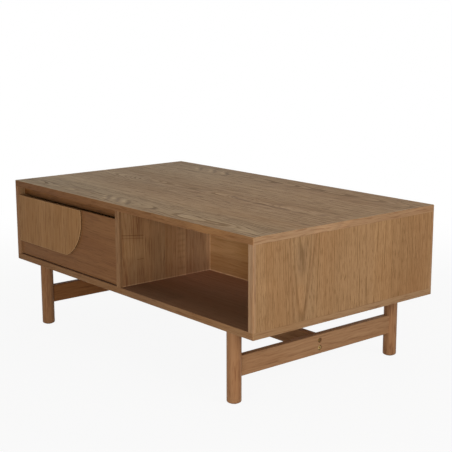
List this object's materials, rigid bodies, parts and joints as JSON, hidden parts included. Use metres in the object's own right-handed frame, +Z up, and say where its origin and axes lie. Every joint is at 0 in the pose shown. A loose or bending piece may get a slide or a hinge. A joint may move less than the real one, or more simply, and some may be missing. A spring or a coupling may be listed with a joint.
{
  "type": "coffee table",
  "caption": "Low rectangular coffee table with drawers opened by a finger gap, open cubbies beside them, and round legs joined by end rails and a stretcher.",
  "frame": {"origin": "on the floor, under the middle of the table", "axes": "+X along the length, towards the open cubby at the front; the front faces -Y; +Z up"},
  "size_m": [1.1, 0.64, 0.435],
  "materials": {
    "top_veneer": "satin lacquered oak veneer",
    "side_veneer": "satin lacquered oak veneer",
    "divider_veneer": "satin lacquered oak staves",
    "inner_board": "satin lacquered dark oak veneer",
    "edge_strip": "satin lacquered solid oak",
    "finger_rail": "satin lacquered solid oak",
    "drawer_face": "satin lacquered oak veneer",
    "drawer_overlay": "satin lacquered oak veneer",
    "leg_wood": "satin lacquered solid oak",
    "rail_wood": "satin lacquered solid oak",
    "box_wood": "clear lacquered pale plywood",
    "dowel_wood": "bare beech",
    "runner_steel": "zinc plated",
    "fastener_steel": "zinc plated",
    "bolt_brass": "antique brass plated",
    "pad_felt": "pressed felt"
  },
  "bodies": {
    "table": {"barrel_nuts": "fastener_steel", "bottom_front_lipping": "edge_strip", "bottom_left_lipping": "edge_strip", "bottom_panel": "inner_board", "bottom_rear_lipping": "edge_strip", "bottom_right_lipping": "edge_strip", "case_dowels": "dowel_wood", "divider": "divider_veneer", "divider_front_lipping": "edge_strip", "divider_rear_lipping": "edge_strip", "end_rail_dowels": "dowel_wood", "foot_pads": "pad_felt", "front_finger_rail": "finger_rail", "front_left_leg": "leg_wood", "front_right_leg": "leg_wood", "left_end_rail": "rail_wood", "left_partition": "inner_board", "left_side": "side_veneer", "left_side_front_lipping": "edge_strip", "left_side_rear_lipping": "edge_strip", "leg_bolts": "fastener_steel", "leg_inserts": "fastener_steel", "rear_finger_rail": "finger_rail", "rear_left_leg": "leg_wood", "rear_right_leg": "leg_wood", "right_end_rail": "rail_wood", "right_partition": "inner_board", "right_side": "side_veneer", "right_side_front_lipping": "edge_strip", "right_side_rear_lipping": "edge_strip", "runner_case_members": "runner_steel", "runner_case_screws": "fastener_steel", "stretcher": "rail_wood", "stretcher_bolts": "bolt_brass", "top_front_lipping": "edge_strip", "top_left_lipping": "edge_strip", "top_panel": "top_veneer", "top_rear_lipping": "edge_strip", "top_right_lipping": "edge_strip"},
    "front_drawer": {"front_drawer_box_back": "box_wood", "front_drawer_box_floor": "box_wood", "front_drawer_box_inner_front": "box_wood", "front_drawer_box_left_side": "box_wood", "front_drawer_box_right_side": "box_wood", "front_drawer_face_board": "drawer_face", "front_drawer_overlay": "drawer_overlay", "front_drawer_screws": "fastener_steel", "front_runner_drawer_members": "runner_steel"},
    "front_runner_middle": {"front_runner_middle_members": "runner_steel"},
    "rear_drawer": {"rear_drawer_box_back": "box_wood", "rear_drawer_box_floor": "box_wood", "rear_drawer_box_inner_front": "box_wood", "rear_drawer_box_left_side": "box_wood", "rear_drawer_box_right_side": "box_wood", "rear_drawer_face_board": "drawer_face", "rear_drawer_overlay": "drawer_overlay", "rear_drawer_screws": "fastener_steel", "rear_runner_drawer_members": "runner_steel"},
    "rear_runner_middle": {"rear_runner_middle_members": "runner_steel"}
  },
  "joints": [
    {"name": "front_drawer_slide", "type": "slide", "parent": "table", "child": "front_drawer", "axis": [0, -1, 0], "range_m": [0, 0.23]},
    {"name": "front_runner_slide", "type": "slide", "parent": "table", "child": "front_runner_middle", "axis": [0, -1, 0], "range_m": [0, 0.115]},
    {"name": "rear_drawer_slide", "type": "slide", "parent": "table", "child": "rear_drawer", "axis": [0, 1, 0], "range_m": [0, 0.23]},
    {"name": "rear_runner_slide", "type": "slide", "parent": "table", "child": "rear_runner_middle", "axis": [0, 1, 0], "range_m": [0, 0.115]}
  ],
  "couplings": [
    {"joint": "front_runner_slide", "follows": "front_drawer_slide", "ratio": 0.5},
    {"joint": "rear_runner_slide", "follows": "rear_drawer_slide", "ratio": 0.5}
  ]
}
